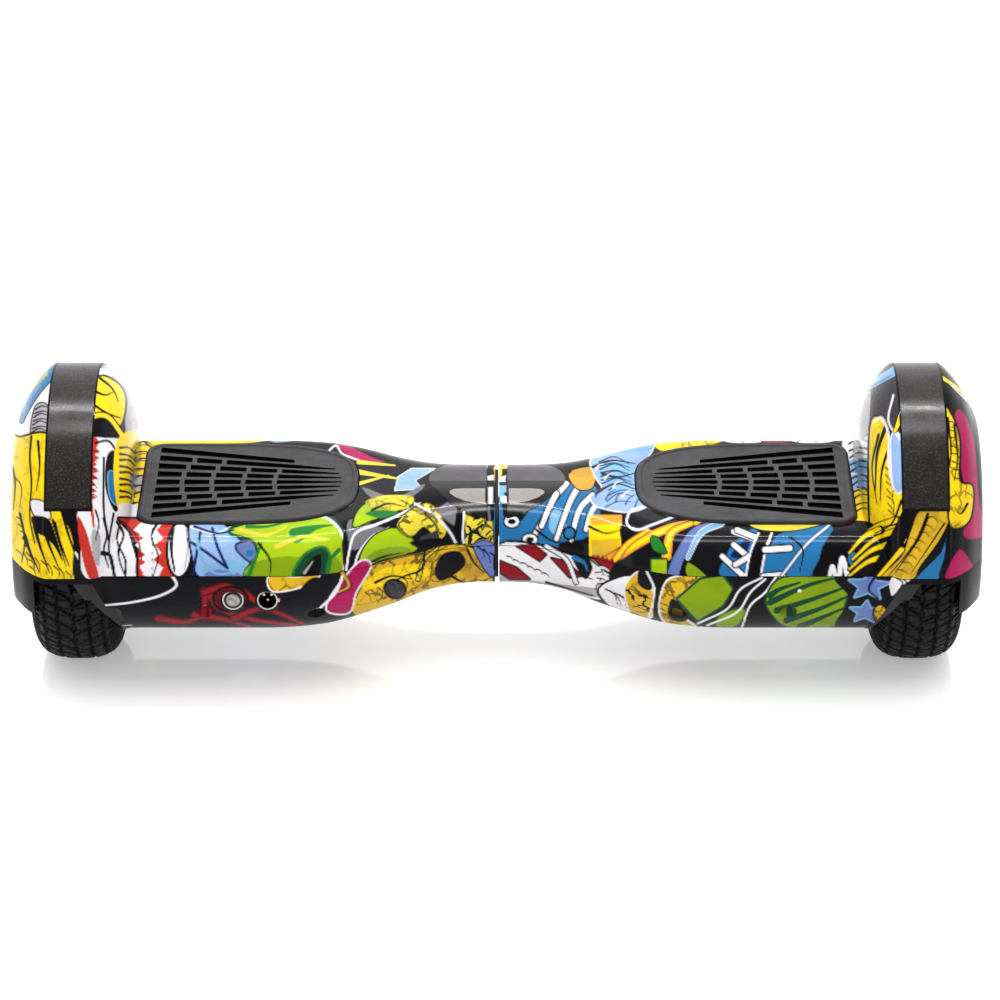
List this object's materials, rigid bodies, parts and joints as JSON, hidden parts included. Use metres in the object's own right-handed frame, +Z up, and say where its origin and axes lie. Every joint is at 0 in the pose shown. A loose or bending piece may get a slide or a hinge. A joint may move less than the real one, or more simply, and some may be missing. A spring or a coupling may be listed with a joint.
{
  "type": "self balancing hoverboard",
  "caption": "Two-wheeled self-balancing board: two shells twist on a centre pivot, hub-motor wheels under arched fenders, sprung foot pads.",
  "frame": {"origin": "on the ground, midway between the two wheels and under the twist axis", "axes": "+X along the board towards the half without the charge socket, +Y to the face with the lamps, +Z up"},
  "size_m": [0.58, 0.188, 0.18],
  "materials": {
    "printed_shell": "glossy moulded plastic with an all-over abstract multicolour print",
    "trim_plastic": "charcoal plastic with a fine grain",
    "black_gloss": "piano black",
    "lens": "clear to smoke-grey moulded lens",
    "steel": "plated steel",
    "circuit_board": "green solder mask with black parts",
    "cast_aluminium": "as cast, lightly machined",
    "iron_laminations": "stacked iron with varnish",
    "cable_sheath": "black sheath",
    "bearing_steel": "ground steel",
    "wheel_plastic": "black satin plastic",
    "tyre_rubber": "solid black rubber with block tread",
    "seal_rubber": "black foam rubber",
    "battery_wrap": "blue shrink wrap",
    "chrome_trim": "bright plated ring",
    "brass_pins": "plated contact pins",
    "bronze_bush": "sintered bronze",
    "pad_rubber": "charcoal rubber with fanned tread pockets",
    "button_metal": "satin metal cap"
  },
  "bodies": {
    "left_half": {"upper_shell_left": "printed_shell", "lower_shell_left": "printed_shell", "fender_trim_left": "trim_plastic", "indicator_panel_left": "black_gloss", "indicator_lens_left": "lens", "headlamp_lens_left": "lens", "shell_screws_left": "steel", "sensor_board_left": "circuit_board", "frame_left": "cast_aluminium", "frame_screws_left": "steel", "axle_clamp_left": "cast_aluminium", "clamp_bolts_left": "steel", "axle_left": "steel", "stator_left": "iron_laminations", "motor_cable_left": "cable_sheath", "pivot_tube": "steel", "pivot_circlip": "steel", "stop_pin": "steel", "centre_seal": "seal_rubber", "battery_pack": "battery_wrap", "battery_strap": "steel", "button_bezel": "chrome_trim", "charge_socket": "chrome_trim", "charge_pins": "brass_pins"},
    "right_half": {"upper_shell_right": "printed_shell", "lower_shell_right": "printed_shell", "fender_trim_right": "trim_plastic", "indicator_panel_right": "black_gloss", "indicator_lens_right": "lens", "headlamp_lens_right": "lens", "shell_screws_right": "steel", "sensor_board_right": "circuit_board", "frame_right": "cast_aluminium", "frame_screws_right": "steel", "axle_clamp_right": "cast_aluminium", "clamp_bolts_right": "steel", "axle_right": "steel", "stator_right": "iron_laminations", "motor_cable_right": "cable_sheath", "pivot_bushes": "bronze_bush", "main_board": "circuit_board", "link_cable": "cable_sheath"},
    "wheel_left": {"wheel_rim_left": "cast_aluminium", "magnet_ring_left": "iron_laminations", "motor_cover_left": "cast_aluminium", "cover_screws_left": "steel", "wheel_bearings_left": "bearing_steel", "hub_cap_left": "wheel_plastic", "tyre_left": "tyre_rubber"},
    "wheel_right": {"wheel_rim_right": "cast_aluminium", "magnet_ring_right": "iron_laminations", "motor_cover_right": "cast_aluminium", "cover_screws_right": "steel", "wheel_bearings_right": "bearing_steel", "hub_cap_right": "wheel_plastic", "tyre_right": "tyre_rubber"},
    "pad_left": {"foot_pad_left": "pad_rubber"},
    "pad_right": {"foot_pad_right": "pad_rubber"},
    "power_button": {"power_button": "button_metal"}
  },
  "joints": [
    {"name": "centre_twist", "type": "hinge", "parent": "left_half", "child": "right_half", "pos_m": [0, 0, 0.086], "axis": [1, 0, 0], "range_deg": [-15, 15]},
    {"name": "wheel_left_spin", "type": "hinge", "parent": "left_half", "child": "wheel_left", "pos_m": [-0.253, 0, 0.086], "axis": [1, 0, 0], "continuous": true},
    {"name": "wheel_right_spin", "type": "hinge", "parent": "right_half", "child": "wheel_right", "pos_m": [0.253, 0, 0.086], "axis": [1, 0, 0], "continuous": true},
    {"name": "pad_left_press", "type": "slide", "parent": "left_half", "child": "pad_left", "axis": [0, 0, -1], "range_m": [0, 0.0015], "stiffness_N_per_m": 6000, "springref_m": -0.001},
    {"name": "pad_right_press", "type": "slide", "parent": "right_half", "child": "pad_right", "axis": [0, 0, -1], "range_m": [0, 0.0015], "stiffness_N_per_m": 6000, "springref_m": -0.001},
    {"name": "power_button_press", "type": "slide", "parent": "left_half", "child": "power_button", "axis": [0, 1, 0], "range_m": [0, 0.001], "stiffness_N_per_m": 900, "springref_m": -0.0015}
  ]
}
